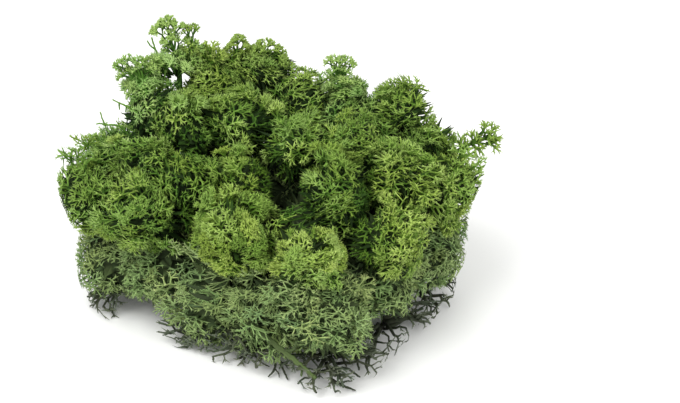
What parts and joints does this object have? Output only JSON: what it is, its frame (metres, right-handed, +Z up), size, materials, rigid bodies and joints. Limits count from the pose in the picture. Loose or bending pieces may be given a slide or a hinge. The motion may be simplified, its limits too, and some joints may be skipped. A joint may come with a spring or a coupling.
{
  "type": "reindeer moss clump",
  "caption": "Heaped clump of preserved, dyed reindeer lichen: many forked, interlocked tufts with wispy sprigs on top and dark dead stems below.",
  "frame": {"origin": "middle of the flat spot under the middle tuft, on the surface that the clump rests on", "axes": "+Z up, +Y towards the tall back crest, +X towards the end with the outlying sprig"},
  "size_m": [0.1618, 0.1423, 0.1029],
  "materials": {
    "lichen_fresh": "matt, fibrous, fresh yellow-green",
    "lichen_green": "matt, fibrous, leaf green",
    "lichen_cool": "matt, fibrous, cool green",
    "lichen_shade": "matt, fibrous, dull grey-green",
    "dead_stems": "matt, fibrous, near-black grey-green"
  },
  "bodies": {
    "root": {"tuft_front": "lichen_fresh", "tuft_front_left": "lichen_fresh", "tuft_left_front": "lichen_green", "tuft_left": "lichen_green", "tuft_left_rear": "lichen_cool", "tuft_left_shoulder": "lichen_cool", "tuft_left_sprig": "lichen_cool", "tuft_upper_left": "lichen_green", "tuft_upper_middle": "lichen_green", "tuft_middle_left": "lichen_green", "tuft_middle": "lichen_fresh", "tuft_saddle_left": "lichen_green", "tuft_centre_top": "lichen_green", "tuft_centre": "lichen_green", "tuft_saddle_right": "lichen_green", "tuft_right_front": "lichen_fresh", "tuft_right_middle": "lichen_fresh", "tuft_right_end": "lichen_fresh", "tuft_right_rear": "lichen_green", "tuft_right_top": "lichen_green", "tuft_crest_right": "lichen_cool", "tuft_crest_sprig": "lichen_cool", "tuft_crest_middle": "lichen_green", "tuft_crest_head": "lichen_green", "tuft_crest_small": "lichen_green", "tuft_crest_left": "lichen_fresh", "tuft_crest_fork": "lichen_green", "tuft_crest_end": "lichen_cool", "tuft_back_left": "lichen_cool", "tuft_back_corner": "lichen_green", "tuft_back_middle": "lichen_green", "tuft_back_right": "lichen_cool", "tuft_back_end": "lichen_green", "tuft_low_front_1": "lichen_shade", "tuft_low_front_2": "lichen_shade", "tuft_low_front_3": "lichen_shade", "tuft_low_front_4": "lichen_shade", "tuft_low_front_5": "lichen_shade", "tuft_low_right": "lichen_shade", "tuft_low_back_1": "lichen_shade", "tuft_low_back_2": "lichen_shade", "tuft_low_back_3": "lichen_shade", "tuft_low_back_4": "lichen_shade", "tuft_low_left": "lichen_shade", "tuft_low_heart": "lichen_shade", "tuft_low_heart_right": "lichen_shade", "tuft_foot": "lichen_shade", "stems_low_front_1": "dead_stems", "stems_low_front_3": "dead_stems", "stems_low_front_4": "dead_stems", "stems_low_front_5": "dead_stems", "stems_low_right": "dead_stems", "stems_low_back_1": "dead_stems", "stems_low_back_3": "dead_stems", "stems_low_back_4": "dead_stems", "stems_low_left": "dead_stems"}
  },
  "joints": []
}
